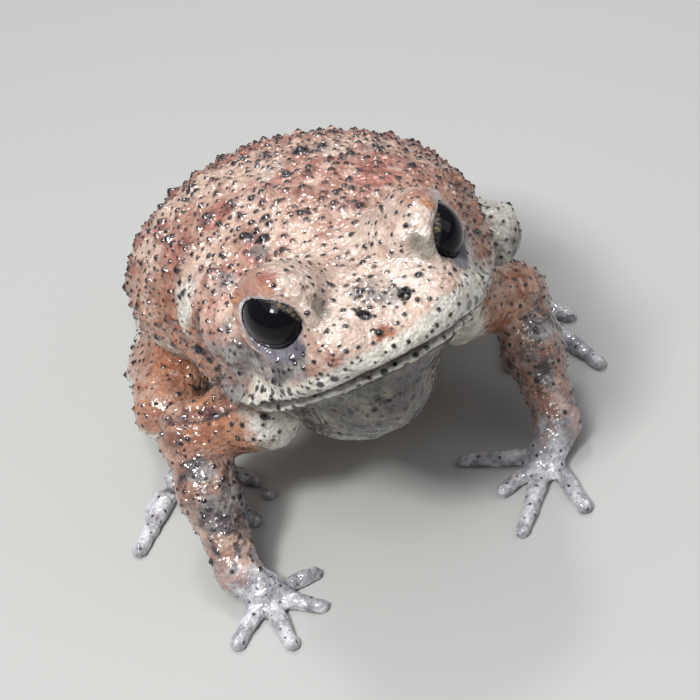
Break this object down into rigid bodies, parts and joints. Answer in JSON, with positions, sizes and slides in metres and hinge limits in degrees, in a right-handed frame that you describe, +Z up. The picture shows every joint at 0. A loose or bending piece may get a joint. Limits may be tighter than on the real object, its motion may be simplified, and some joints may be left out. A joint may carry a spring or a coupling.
{
  "type": "miyako toad",
  "caption": "Life-size miyako toad sitting with its head raised, warty red-brown back, dark eyes and pale spread fingers.",
  "frame": {"origin": "on the floor, below the centre of the toad's bounding box", "axes": "+Z up, the toad faces -Y and its left side is +X"},
  "size_m": [0.063, 0.0716, 0.0422],
  "materials": {
    "skin_back": "wet, warty, red-brown",
    "skin_head": "wet, finely warty, tan",
    "skin_throat": "damp, finely grained, pale",
    "skin_legs": "wet, warty, orange-brown with grey",
    "skin_digits": "wet, smooth, pale grey",
    "eye": "very glossy, near black"
  },
  "bodies": {
    "root": {"eye_left": "eye", "eye_right": "eye", "foot_left": "skin_digits", "foot_right": "skin_digits", "forearm_left": "skin_legs", "forearm_right": "skin_legs", "hand_left": "skin_digits", "hand_right": "skin_digits", "head": "skin_head", "lower_jaw": "skin_throat", "shank_left": "skin_legs", "shank_right": "skin_legs", "tarsus_left": "skin_legs", "tarsus_right": "skin_legs", "thigh_left": "skin_legs", "thigh_right": "skin_legs", "torso": "skin_back", "upper_arm_left": "skin_legs", "upper_arm_right": "skin_legs"}
  },
  "joints": []
}
